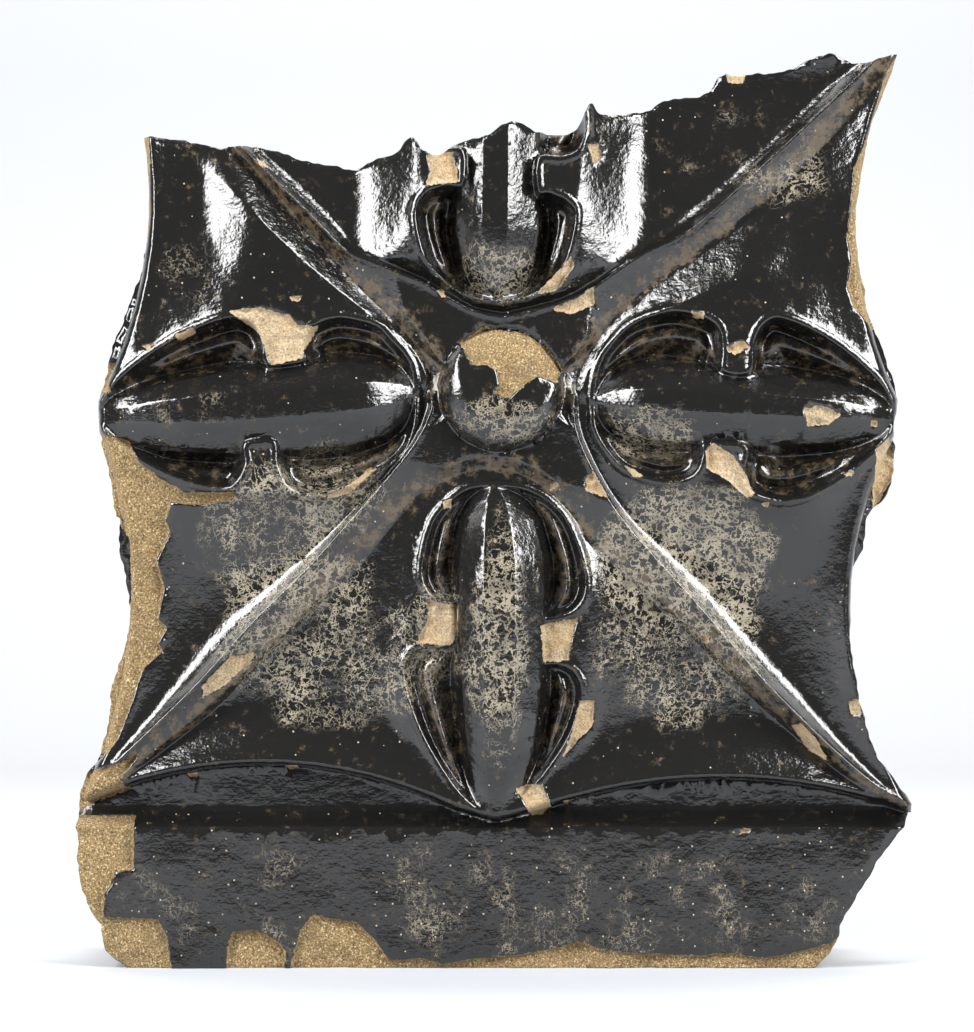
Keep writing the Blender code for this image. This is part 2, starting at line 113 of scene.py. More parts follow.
# Bud down the middle of each petal; its widths are shares of the petal's length
BUD_LEVEL = 27.0
BUD_TIP_LEVEL = 15.0
BUD_FACET_DROP = 9.0
CUSP_REACH = 0.118
BUD_SWELL_PLACES = (-0.01, 0.01, 0.04, 0.10, 0.22, 0.55, 0.80, 0.94, 1.0, 1.02)
BUD_SWELL = (0.0, 0.30, 0.58, 0.82, 1.0, 0.98, 0.78, 0.50, 0.34, 0.0)
BUD_CROWN_PLACES = (0.0, 0.04, 0.10, 0.18, 0.30, 0.75, 1.0)
BUD_CROWN = (0.45, 0.64, 0.82, 0.94, 1.0, 0.96, BUD_TIP_LEVEL / BUD_LEVEL)
RIM_PLACES = (0.0, 0.25, 0.6, 1.0)

# Boss in the centre, with its upper part chipped flat
BOSS_CENTRE = (2.8, 187.2)
BOSS_RADIUS = 26.7
BOSS_LEVEL = 29.0
BOSS_BASE = 14.0
BOSS_CURVE = 3.2
BOSS_CHIP_DEPTH = 2.5
BOSS_CHIP_REACH = 24.0
BOSS_CHIP_OFFSET = (4.0, 12.0)
BOSS_CHIP_SOFTNESS = 8.0

# Ends of the foot: x, and height as a share of the band's height
RIGHT_FOOT = ((137.5, 0.0), (146.5, 0.163), (148.5, 0.313), (153.5, 0.455), (163.0, 0.739),
              (172.0, 0.924))
LEFT_FOOT = ((-157.5, 0.0), (-166.5, 0.121), (-168.5, 0.277), (-174.0, 0.419), (-178.5, 0.697),
             (-178.5, 0.90))

# Broken outline above the band
RIGHT_EDGE = ((179.0, 8.5), (172.0, 18.5), (164.5, 30.0), (158.5, 45.0), (153.5, 67.0), (152.5, 86.5),
              (154.0, 110.0), (159.5, 121.0), (161.5, 134.0), (170.0, 144.5), (172.5, 162.0),
              (171.0, 170.5), (173.0, 183.5), (170.0, 197.0), (161.5, 222.0), (156.0, 247.0),
              (154.5, 256.0), (156.5, 273.5), (160.5, 295.0), (168.0, 316.0), (172.0, 330.5))
TOP_EDGE = ((-150.5, 295.5), (-134.5, 294.0), (-113.5, 291.0), (-98.0, 291.0), (-83.0, 286.5),
            (-61.5, 282.0), (-52.0, 286.0), (-43.0, 288.0), (-35.5, 294.0), (-30.0, 288.0),
            (-22.5, 287.5), (-15.5, 292.5), (-3.0, 295.0), (8.5, 301.0), (19.0, 297.5), (33.5, 297.5),
            (41.0, 308.5), (46.0, 305.0), (63.5, 306.5), (74.0, 311.5), (92.0, 315.5), (97.0, 322.0),
            (110.5, 322.5), (128.0, 325.5), (143.0, 331.0), (153.5, 327.0), (162.5, 328.5),
            (172.0, 330.5))
LEFT_EDGE = ((-180.0, 2.0), (-178.0, 15.5), (-171.0, 33.0), (-166.5, 59.5), (-160.5, 80.0),
             (-159.5, 99.5), (-164.0, 119.5), (-164.0, 141.0), (-169.0, 162.0), (-170.0, 173.5),
             (-168.5, 190.0), (-164.5, 207.0), (-156.5, 225.5), (-151.0, 245.5), (-148.5, 263.0),
             (-149.5, 282.0), (-150.5, 295.5))
BREAK_ROUGHNESS = 0.8
BREAK_DEPTH = 2.2
BREAK_CLEAR = 12.0

# Edge of the flower: start and end of each arc, and how far the arc bows towards the centre
FLOWER_EDGE = (((-171.0, 355.5), (-170.5, 182.5), 22.0),
               ((-170.0, 169.5), (-177.0, 13.5), 16.0),
               ((-175.0, 10.5), (-16.0, 6.5), 17.5),
               ((-1.0, 2.0), (2.0, 2.0), 0.0),
               ((20.0, 7.0), (179.0, 5.5), 13.5),
               ((179.5, 10.5), (172.0, 167.5), 22.5),
               ((173.5, 183.5), (179.0, 339.5), 20.0))

# Petals. The first of each pair is the side to the left of the axis, seen along it.
# axis: its inner end and its tip.
# hollow: inner lobe's width and place, cusp's start and end, outer lobe's width and place, as shares of
# the axis.
# bud: places of its left edge, left arris, right arris and right edge, as shares of the axis.
# rim: its levels along the axis.
# flank: how far it rolls down beside the rim, how deep it is dished, and how far it falls outwards.
# slope: how its two sides fall away from the rim, swelling below 1 and hollow above.
# bulge: how wide a bulge each side has beside the rim instead, or 0.
# pillow: how steeply each side rises from the rib instead, or 0.
# arch: lines where the ribs meet the petal, from the axis to the corner.
# sweep: how wide the flank sweeps up to that line where it is a crest, or 0 where it is a groove.
PETALS = {
    "north": {
        "axis": ((2.0, 225.0), (3.5, 357.5)),
        "hollow": ((0.27, 0.27, 0.37, 0.48, 0.27, 0.62), (0.24, 0.27, 0.35, 0.46, 0.27, 0.60)),
        "bud": (0.14, 0.058, 0.023, 0.125),
        "rim": (22.0, 25.5, 25.0, 19.0),
        "flank": (0.0, 4.5, 3.0),
        "slope": (1.8, 1.8),
        "bulge": (36.0, 36.0),
        "pillow": (0.0, 0.0),
        "arch": (((3.0, 218.5), (-9.5, 221.5), (-24.0, 229.5), (-34.5, 235.0), (-50.5, 241.0),
                  (-63.5, 247.0), (-78.5, 262.0), (-108.5, 291.5), (-171.0, 356.0)),
                 ((3.0, 218.5), (15.0, 221.0), (31.0, 225.5), (43.0, 231.5), (63.5, 245.0),
                  (85.0, 256.5), (115.0, 283.0), (149.5, 315.5), (177.5, 342.5))),
        "sweep": (9.0, 10.0)},
    "east": {
        "axis": ((42.8, 182.5), (172.2, 175.5)),
        "hollow": ((0.305, 0.25, 0.41, 0.505, 0.30, 0.60), (0.25, 0.24, 0.365, 0.50, 0.29, 0.65)),
        "bud": (0.125, 0.05, 0.02, 0.12),
        "rim": (14.0, 19.6, 25.5, 19.0),
        "flank": (0.0, 4.0, 3.0),
        "slope": (1.0, 1.7),
        "bulge": (0.0, 0.0),
        "pillow": (0.62, 0.0),
        "arch": (((34.0, 185.5), (36.5, 195.5), (46.0, 211.5), (61.5, 227.5), (85.0, 245.5),
                  (108.5, 263.5), (153.5, 308.0), (178.0, 336.0)),
                 ((34.0, 185.5), (34.5, 172.5), (40.5, 156.5), (55.0, 131.5), (85.0, 97.5),
                  (119.5, 58.5), (158.0, 22.0), (179.0, 10.0))),
        "sweep": (0.0, 12.0)},
    "south": {
        "axis": ((-1.0, 146.0), (-0.5, 5.0)),
        "hollow": ((0.28, 0.29, 0.40, 0.535, 0.265, 0.65), (0.21, 0.25, 0.355, 0.475, 0.265, 0.58)),
        "bud": (0.155, 0.067, 0.027, 0.10),
        "rim": (13.5, 15.0, 14.0, 12.5),
        "flank": (3.0, 0.0, 10.0),
        "slope": (0.9, 0.9),
        "bulge": (0.0, 0.0),
        "pillow": (0.0, 0.0),
        "arch": (((0.0, 154.0), (9.5, 152.0), (24.0, 143.5), (42.0, 124.0), (80.5, 88.5), (115.0, 54.5),
                  (153.5, 22.0), (177.5, 8.5)),
                 ((0.0, 154.0), (-9.5, 153.0), (-22.5, 148.0), (-40.0, 137.0), (-59.0, 114.5),
                  (-78.5, 95.0), (-119.5, 54.5), (-143.0, 35.0), (-175.0, 10.5))),
        "sweep": (0.0, 0.0)},
    "west": {
        "axis": ((-34.2, 186.8), (-170.0, 175.5)),
        "hollow": ((0.295, 0.33, 0.445, 0.54, 0.25, 0.63), (0.245, 0.22, 0.335, 0.455, 0.27, 0.57)),
        "bud": (0.155, 0.05, 0.04, 0.11),
        "rim": (14.0, 19.6, 25.5, 19.0),
        "flank": (0.0, 4.0, 3.0),
        "slope": (1.7, 1.4),
        "bulge": (0.0, 0.0),
        "pillow": (0.0, 1.0),
        "arch": (((-27.0, 185.5), (-27.5, 177.5), (-37.5, 159.5), (-61.5, 131.5), (-78.5, 112.5),
                  (-104.5, 86.5), (-130.0, 58.5), (-177.5, 12.5)),
                 ((-27.0, 185.5), (-27.5, 195.0), (-35.5, 209.0), (-57.0, 230.5), (-83.0, 258.5),
                  (-110.5, 291.0), (-174.0, 355.5))),
        "sweep": (15.5, 0.0)},
}
FAR = 400.0

# Mesh
GRID_COLUMNS = 500
GRID_ROWS = 545
SIDE_ROWS = 18
TRIANGLE_BUDGET = 190000

# Bare clay: how deep the losses go, and the outlines of the weathered ones and of the fresh chips
WORN_DEPTH = 2.4
CHIP_DEPTH = 1.5
LOSS_SLOPE = 1.2
LOSS_LAP = 0.3
LOSS_MARGIN = 12.0
WORN = {
    "boss": ((-5.0, 214.5), (2.5, 212.5), (12.5, 211.5), (22.5, 205.0), (29.0, 196.5), (26.5, 190.0),
             (18.5, 192.5), (12.5, 189.0), (6.0, 183.0), (-0.5, 186.0), (2.0, 189.0), (0.5, 195.5),
             (-3.5, 197.5), (-9.5, 197.5), (-13.0, 203.5), (-15.0, 208.0), (-8.5, 211.5)),
    "left_strip": ((-169.5, 168.5), (-156.5, 166.0), (-151.5, 156.5), (-143.0, 150.0), (-132.0, 143.5),
                   (-110.5, 143.5), (-110.5, 140.5), (-126.0, 138.0), (-138.0, 139.0), (-140.5, 131.5),
                   (-138.5, 126.5), (-144.5, 114.5), (-141.5, 104.0), (-144.0, 89.5), (-140.5, 85.5),
                   (-144.0, 79.0), (-142.0, 76.0), (-150.5, 68.0), (-154.5, 54.5), (-161.0, 38.0),
                   (-167.0, 30.0), (-176.5, 28.5), (-176.5, 39.5), (-172.5, 49.0), (-166.0, 63.0),
                   (-164.5, 78.0), (-158.5, 97.5), (-158.0, 121.0), (-170.5, 140.5), (-179.0, 153.0)),
    "corner": ((-187.0, 2.0), (-184.0, 13.5), (-175.0, 23.5), (-156.5, 29.5), (-151.5, 32.0),
               (-160.0, 21.0), (-156.5, 15.5), (-169.0, 11.5), (-175.5, 8.5)),
    "band_left": ((-190.0, 4.5), (-154.5, 4.5), (-154.5, -18.0), (-162.5, -19.0), (-164.5, -25.0),
                  (-167.0, -28.5), (-167.5, -38.5), (-144.0, -39.5), (-140.5, -46.5), (-137.5, -66.0),
                  (-190.0, -66.0)),
    "band_foot_1": ((-115.0, -66.0), (-114.5, -51.0), (-112.0, -44.5), (-102.0, -44.0), (-93.5, -48.0),
                    (-89.5, -53.0), (-90.0, -66.0)),
    "band_foot_2": ((-88.5, -66.0), (-86.0, -53.0), (-83.0, -43.5), (-77.5, -36.5), (-70.5, -39.0),
                    (-59.0, -40.5), (-50.5, -49.0), (-44.0, -58.5), (-43.0, -66.0)),
    "band_foot_3": ((-45.0, -66.0), (-46.0, -57.0), (-31.0, -56.0), (-22.5, -58.5), (-5.5, -56.0),
                    (12.0, -54.5), (29.0, -51.0), (36.5, -48.5), (46.0, -52.5), (67.5, -54.5),
                    (89.0, -55.0), (98.5, -53.5), (115.0, -56.0), (132.0, -53.0), (144.5, -49.5),
                    (152.5, -42.5), (156.5, -66.0)),
    "ne_edge": ((176.0, 335.0), (170.0, 327.0), (166.5, 321.0), (163.0, 308.0), (159.0, 295.0),
                (153.5, 282.0), (152.0, 265.0), (150.5, 252.0), (152.0, 242.5), (150.5, 230.5),
                (153.5, 222.0), (158.0, 217.0), (161.5, 213.5), (173.0, 213.5), (169.0, 269.5),
                (180.0, 312.5)),
    "nw_edge": ((-157.5, 301.5), (-147.5, 296.5), (-147.0, 286.5), (-147.5, 273.5), (-147.0, 263.0),
                (-148.5, 250.0), (-156.5, 248.0)),
    "w_edge": ((-175.5, 199.5), (-163.0, 199.0), (-165.5, 192.0), (-163.5, 186.5), (-175.5, 184.5)),
}
CHIPS = {
    "south_left_cusp": ((-29.0, 97.5), (-15.5, 95.0), (-16.0, 82.5), (-18.5, 78.0), (-33.5, 79.0),
                        (-28.0, 91.0)),
    "south_right_cusp": ((19.5, 86.5), (24.0, 88.0), (35.5, 90.0), (32.5, 78.0), (31.5, 71.5),
                         (21.0, 71.0)),
    "south_rim": ((36.5, 54.5), (43.0, 54.5), (42.0, 43.5), (35.5, 37.0), (29.0, 30.0), (33.5, 41.5)),
    "south_tip": ((9.0, 17.0), (16.0, 19.0), (20.5, 18.5), (24.5, 8.5), (20.5, 5.0), (16.0, 4.5),
                  (12.0, 12.5)),
    "south_arch_spot": ((23.0, 147.0), (27.0, 148.0), (27.5, 145.5), (24.0, 144.5)),
    "south_rim_spot": ((-22.0, 140.0), (-18.5, 140.5), (-18.5, 137.0), (-21.5, 136.5)),
    "south_lip_spot": ((29.0, 11.5), (34.0, 12.0), (31.5, 9.0)),
    "east_arch": ((42.0, 152.5), (49.0, 140.5), (39.0, 144.5), (38.5, 149.0)),
    "west_cusp": ((-113.0, 220.5), (-99.0, 222.0), (-87.0, 218.5), (-84.0, 214.5), (-75.0, 214.5),
                  (-81.0, 204.0), (-81.5, 200.5), (-95.0, 197.5), (-97.5, 205.0), (-101.0, 212.0)),
    "west_rim": ((-150.5, 206.0), (-144.0, 207.0), (-147.5, 203.5)),
    "west_rim_2": ((-135.5, 210.5), (-128.0, 213.5), (-127.0, 211.5), (-134.5, 208.0)),
    "west_lower_rim": ((-73.5, 141.5), (-63.5, 145.5), (-52.0, 155.0), (-50.0, 154.0), (-61.5, 143.5),
                       (-70.0, 140.5)),
    "east_rim": ((84.0, 220.5), (89.0, 220.5), (89.0, 217.5), (85.0, 217.5)),
    "east_rim_2": ((98.5, 205.0), (105.5, 208.0), (108.5, 205.0), (102.0, 202.0)),
    "east_bud": ((131.0, 179.0), (138.5, 180.5), (147.5, 177.0), (141.5, 172.0), (133.0, 171.5)),
    "east_bud_2": ((160.5, 174.0), (163.0, 174.0), (163.0, 171.5), (160.0, 171.5)),
    "east_low_rim": ((55.0, 156.0), (60.0, 153.0), (64.0, 150.0), (59.0, 150.0)),
    "east_cusp": ((90.0, 161.0), (92.5, 165.0), (102.0, 158.5), (107.5, 150.0), (110.5, 142.5),
                  (107.5, 141.0), (98.5, 149.0), (90.0, 154.0)),
    "east_rim_3": ((113.0, 139.0), (117.0, 139.5), (116.0, 137.0)),
    "east_rim_4": ((147.5, 151.5), (153.5, 153.0), (153.0, 150.0)),
    "east_tip": ((162.5, 162.0), (168.0, 167.0), (172.5, 159.5), (173.5, 154.5), (166.5, 140.5),
                 (163.5, 136.0), (162.5, 153.0)),
    "north_left_cusp": ((-29.0, 287.5), (-17.5, 288.0), (-15.0, 275.0), (-29.0, 273.5), (-27.5, 280.0)),
    "north_right_rim": ((32.5, 243.5), (34.0, 240.0), (27.0, 229.5), (17.0, 227.5), (22.5, 233.0)),
    "north_arch": ((24.0, 221.5), (35.5, 226.5), (42.0, 231.5), (43.0, 223.5), (32.5, 219.5)),
    "north_wing": ((39.5, 291.5), (44.5, 292.0), (46.0, 286.5), (42.0, 283.0)),
    "north_left_rim": ((-24.5, 230.0), (-22.0, 230.0), (-20.5, 226.5), (-22.5, 226.5)),
    "top_edge": ((99.5, 324.0), (107.5, 324.0), (106.5, 319.0), (100.5, 319.5)),
    "nw_rib_spot": ((-101.5, 286.5), (-98.5, 285.0), (-96.5, 282.0), (-100.0, 283.0)),
    "south_west_rib": ((-124.5, 61.0), (-113.0, 73.5), (-101.0, 75.0), (-115.0, 61.0), (-125.0, 55.5)),
    "south_east_rib": ((127.0, 44.0), (131.0, 45.0), (137.5, 38.0), (143.0, 28.5), (134.5, 33.0)),
    "south_east_spot": ((88.0, 83.5), (92.0, 82.0), (92.0, 79.0), (89.0, 80.0)),
    "south_east_edge": ((151.0, 54.5), (156.0, 55.0), (156.5, 49.0), (153.0, 48.0)),
    "lip_spot": ((-90.0, 26.5), (-84.0, 27.0), (-84.5, 24.5), (-89.0, 24.0)),
    "lip_spot_2": ((-132.0, 22.5), (-128.0, 23.0), (-128.0, 21.0), (-131.0, 20.5)),
    "sw_rib_spot": ((-82.0, 114.5), (-80.0, 116.0), (-80.5, 112.0)),
    "band_spot": ((104.5, -1.0), (110.0, -0.5), (109.0, -2.5), (105.5, -3.0)),
    "west_spot": ((-87.0, 226.5), (-82.0, 227.0), (-83.0, 225.0), (-86.0, 225.0)),
}

# Places at the sides where only the body behind the face remains
LEDGE_DEPTH = 22.0
LEDGES = {
    "left": ((-159.5, 132.0), (-156.5, 123.0), (-156.0, 101.5), (-156.5, 91.0), (-158.5, 76.0),
             (-161.0, 58.5), (-164.5, 48.0), (-168.0, 30.0), (-175.5, 24.0), (-175.5, 33.0),
             (-171.0, 59.5), (-166.5, 80.0), (-166.5, 99.5), (-169.5, 119.5), (-169.0, 134.0)),
    "right": ((170.5, 322.0), (168.5, 314.5), (162.5, 303.5), (160.0, 294.0), (166.5, 292.5),
              (172.0, 304.5), (175.0, 319.0)),
}

# Beige crazing on the glaze: centre x and z, half width, half height and strength of each patch
CRAZED = (
    (2.5, 80.0, 9.5, 42.0, 1.0), (-70.0, 71.5, 42.0, 28.0, 0.78), (76.5, 88.5, 32.0, 38.0, 0.85),
    (85.0, 123.0, 28.0, 18.0, 0.8), (-95.0, 125.0, 36.0, 20.0, 0.7), (-130.0, 239.0, 13.0, 15.0, 0.6),
    (102.0, 291.0, 32.0, 17.0, 0.6), (134.5, 267.0, 13.0, 13.0, 0.6), (3.0, 172.5, 20.0, 11.0, 0.75),
    (2.0, 237.0, 17.0, 12.0, 0.8), (-126.0, 179.0, 32.0, 7.0, 0.6), (67.0, 168.5, 19.0, 8.5, 0.9),
    (-130.0, 205.0, 18.0, 7.0, 0.5), (-70.0, 150.0, 24.0, 14.0, 0.7), (63.5, 183.5, 15.0, 6.0, 0.4),
    (-22.5, 101.5, 7.0, 28.0, 0.5), (0.0, -34.0, 185.0, 30.0, 0.52),
)

# Crazing fades out round a patch; dust lies in the hollows, on the ribs and, narrowly, beside them
CRAZED_CORE = 1.5
CRAZED_FALL = 0.75
HOLLOW_DUST = 0.6
RIB_DUST = 0.85
RIB_DUST_REACH = 10.0
PETAL_DUST_REACH = 3.0

# Hand-modelled unevenness and the broken clay's surface: strength, cell and seed of each layer of noise
UNEVEN = ((0.55, 22.0, 4), (0.22, 9.0, 5))
GRAIN = ((0.45, 3.2, 6), (0.25, 1.6, 7))
LUMPS = ((0.5, 11.0, 8),)
GRAIN_IN_LUMPS = 0.35

# Noises of the material: scale, detail and roughness
NOISES = {
    "clay_edge": (420.0, 4.0, 0.65),
    "clay_grain": (1300.0, 2.0, 0.7),
    "clay_stain": (60.0, 4.0, 0.6),
    "soot": (16.0, 6.0, 0.65),
    "lime": (24.0, 6.0, 0.7),
    "clay_roughness": (1100.0, 4.0, 0.7),
    "lace_clusters": (48.0, 3.0, 0.55),
    "lace_first": (165.0, 5.0, 0.62),
    "lace_second": (225.0, 5.0, 0.62),
    "lace_strength": (120.0, 3.0, 0.6),
    "dust": (190.0, 5.0, 0.72),
    "wrinkle": (820.0, 3.0, 0.55),
    "brushed": (520.0, 3.0, 0.6),
    "peel": (230.0, 2.0, 0.5),
}
SPECK_SCALE = 230.0

# Colours of the clay and the glaze
WORN_CLAY = ((0.34, (0.035, 0.022, 0.008)), (0.46, (0.17, 0.103, 0.034)),
             (0.58, (0.245, 0.165, 0.062)), (0.70, (0.56, 0.48, 0.31)))
CHIPPED_CLAY = ((0.28, (0.14, 0.09, 0.04)), (0.46, (0.30, 0.22, 0.12)), (0.66, (0.44, 0.36, 0.25)))
WORN_STAIN = (0.10, 0.065, 0.028, 1.0)
CHIP_STAIN = (0.34, 0.20, 0.07, 1.0)
SOOT = (0.065, 0.05, 0.032, 1.0)
LIME = (0.44, 0.39, 0.29, 1.0)
GLAZE_BLACK = (0.006, 0.0058, 0.0055, 1.0)
GLAZE_DUST = (0.070, 0.049, 0.026, 1.0)
LACE_BROWN = (0.11, 0.082, 0.045, 1.0)
LACE_BEIGE = (0.235, 0.205, 0.15, 1.0)
SPECK = (0.42, 0.38, 0.28, 1.0)

# Shine
GLAZE_ROUGHNESS = 0.12
MATT_SHARE = 0.35
CLAY_ROUGHNESS = 0.88
GLAZE_IOR = 1.62

# Studio: lengths in metres, power in watts and the sensor in millimetres. A light's entry gives its
# place, target, size, power and colour.
CAMERA_DISTANCE = 1.6
CAMERA_HEIGHT = 0.1939
FRAME_HEIGHT = 0.4438
FRAME_CENTRE_X = -0.0024
REFERENCE_PLANE = -0.025
SENSOR_HEIGHT = 36.0
FLOOR_COLOUR = (0.38, 0.395, 0.42, 1.0)
FLOOR_ROUGHNESS = 0.7
FLOOR_FRONT = -1.15
FLOOR_BACK = 1.2
FLOOR_HALF_WIDTH = 4.0
SWEEP_RADIUS = 0.6
SWEEP_STEPS = 12
BACKDROP_TOP = 3.0
WHITE = (1.0, 1.0, 1.0)
LIGHTS = {
    "left_softbox": ((-1.0, -0.72, 0.88), (0.0, 0.0, 0.2), (0.6, 1.2), 46.0, WHITE),
    "right_softbox": ((1.0, -0.72, 0.88), (0.0, 0.0, 0.2), (0.6, 1.2), 46.0, WHITE),
    "back_wash": ((0.0, 0.6, 2.2), (0.0, 1.6, 0.4), (2.5, 0.8), 88.0, (1.0, 0.97, 0.92)),
}
WORLD_STRENGTH = 0.15


def ease(t):
    """Smooth step from 0 to 1."""
    t = np.clip(t, 0.0, 1.0)
    return t * t * (3.0 - 2.0 * t)


def spline(points, steps=8):
    """Catmull-Rom curve through the points."""
    points = np.array(points, dtype=float)
    padded = np.vstack((2 * points[0] - points[1], points, 2 * points[-1] - points[-2]))
    t = np.linspace(0.0, 1.0, steps, endpoint=False)[:, None]
    curve = []
    for a, b, c, d in zip(padded, padded[1:], padded[2:], padded[3:]):
        curve.append(0.5 * (2 * b + (c - a) * t + (2 * a - 5 * b + 4 * c - d) * t ** 2
                            + (3 * b - a - 3 * c + d) * t ** 3))
    curve.append(points[-1:])
    return np.vstack(curve)


def arc(start, end, bow, steps=14):
    """Shallow arc between two points, bowing to the left of its direction."""
    start, end = np.array(start), np.array(end)
    along = end - start
    left = np.array((-along[1], along[0])) / np.hypot(*along)
    t = np.linspace(0.0, 1.0, steps)[:, None]
    return start + along * t + left * bow * 4.0 * t * (1.0 - t)


def path_distance(x, z, path):
    """Distance from every point to an open path."""
    best = np.full(x.shape, FAR * FAR)
    for (ax, az), (bx, bz) in zip(path, path[1:]):
        dx, dz = bx - ax, bz - az
        length = max(dx * dx + dz * dz, 1e-9)
        t = np.clip(((x - ax) * dx + (z - az) * dz) / length, 0.0, 1.0)
        best = np.minimum(best, (x - ax - t * dx) ** 2 + (z - az - t * dz) ** 2)
    return np.sqrt(best)


def inside(x, z, ring):
    """Whether each point lies within a closed ring."""
    hit = np.zeros(x.shape, dtype=bool)
    for (ax, az), (bx, bz) in zip(ring, np.roll(ring, -1, axis=0)):
        if az != bz:
            hit ^= ((az > z) != (bz > z)) & (x < ax + (z - az) * (bx - ax) / (bz - az))
    return hit


def signed_distance(x, z, ring):
    """Distance to a closed ring, positive within it."""
    distance = path_distance(x, z, np.vstack((ring, ring[:1])))
    return np.where(inside(x, z, ring), distance, -distance)


def petal_frame(petal):
    """Inner end, direction, leftward direction and length of a petal's axis."""
    start, tip = (np.array(end) for end in petal["axis"])
    length = np.hypot(*(tip - start))
    along = (tip - start) / length
    return start, along, np.array((-along[1], along[0])), length


def petal_places(petal, x, z):
    """Places of points along and across a petal's axis, as shares of its length, and that length."""
    start, along, across, length = petal_frame(petal)
    a = ((x - start[0]) * along[0] + (z - start[1]) * along[1]) / length
    b = ((x - start[0]) * across[0] + (z - start[1]) * across[1]) / length
    return a, b, length


def near_ring(x, z, ring, margin=0.0):
    """Whether each point lies in the box round a ring, widened by a margin."""
    low, high = ring.min(axis=0) - margin, ring.max(axis=0) + margin
    return (x > low[0]) & (x < high[0]) & (z > low[1]) & (z < high[1])


def softened(a, places, levels, scale=1.0):
    """A profile along a petal's axis with its corners softened."""
    return scale * sum(np.interp(a + shift, places, levels) for shift in SOFTEN) / len(SOFTEN)


def two_sided(pair, left):
    """Values of a pair given for a petal's left and right side, mixed where the sides meet."""
    return left * pair[0] + (1.0 - left) * pair[1]


def used_sides(pair, left):
    """How far each point is on a side for which the pair's value isn't 0."""
    return two_sided([value > 0.0 for value in pair], left)


def half_hollow(inner_width, inner_place, cusp_start, cusp_end, outer_width, outer_place):
    """Stations of one side of a hollow as (share along, share across)."""
    return ((0.0, 0.0), (0.012, 0.36 * inner_width), (0.06, 0.66 * inner_width),
            (0.5 * inner_place, 0.87 * inner_width), (inner_place, inner_width),
            (cusp_start - 0.035, 0.90 * inner_width), (cusp_start - 0.006, 0.66 * inner_width),
            (cusp_start, CUSP_REACH), (cusp_end, CUSP_REACH), (cusp_end + 0.006, 0.72 * outer_width),
            (cusp_end + 0.035, 0.93 * outer_width), (outer_place, outer_width),
            (0.5 * (outer_place + 0.93), 0.78 * outer_width), (0.93, 0.36 * outer_width), (1.0, 0.0))


def hollow_ring(petal, cusped=True):
    """Closed outline of a petal's hollow, with its cusps or bridged smoothly over them."""
    start, along, across, length = petal_frame(petal)
    sides = []
    for stations, side in zip(petal["hollow"], (1.0, -1.0)):
        half = half_hollow(*stations)
        curve = spline(half if cusped else half[:5] + half[11:], steps=5)
        sides.append(start + length * (curve[:, :1] * along + side * curve[:, 1:] * across))
    return np.vstack((sides[0], sides[1][-2:0:-1]))


def petal_region(petal):
    """Closed ring round everything on a petal's side of its arch."""
    _, along, _, _ = petal_frame(petal)
    left, right = (spline(half) for half in petal["arch"])
    return np.vstack((left[::-1], right[1:], right[-1:] + along * FAR, left[-1:] + along * FAR))


def bud_height(petal, a, b, length):
    """Height of the faceted bud at places a and b along and across its axis, and distance beside it."""
    edge_left, arris_left, arris_right, edge_right = petal["bud"]
    swell = np.interp(a, BUD_SWELL_PLACES, BUD_SWELL)
    edge = np.where(b > 0.0, edge_left, edge_right) * swell
    arris = np.where(b > 0.0, arris_left, arris_right) * swell
    crown = softened(a, BUD_CROWN_PLACES, BUD_CROWN, BUD_LEVEL)
    across = np.abs(b)
    facet = np.clip((across - arris) / np.maximum(edge - arris, 1e-6), 0.0, 1.0)
    top = crown - BUD_FACET_DROP * swell * facet
    wall = np.clip((across - edge) * length / HOLLOW_WALL, 0.0, 1.0)
    height = top - (top - HOLLOW_FLOOR) * wall ** 0.8
    return np.where((swell > 0.0) & (wall < 1.0), height, -FAR), np.maximum(across - edge, 0.0) * length


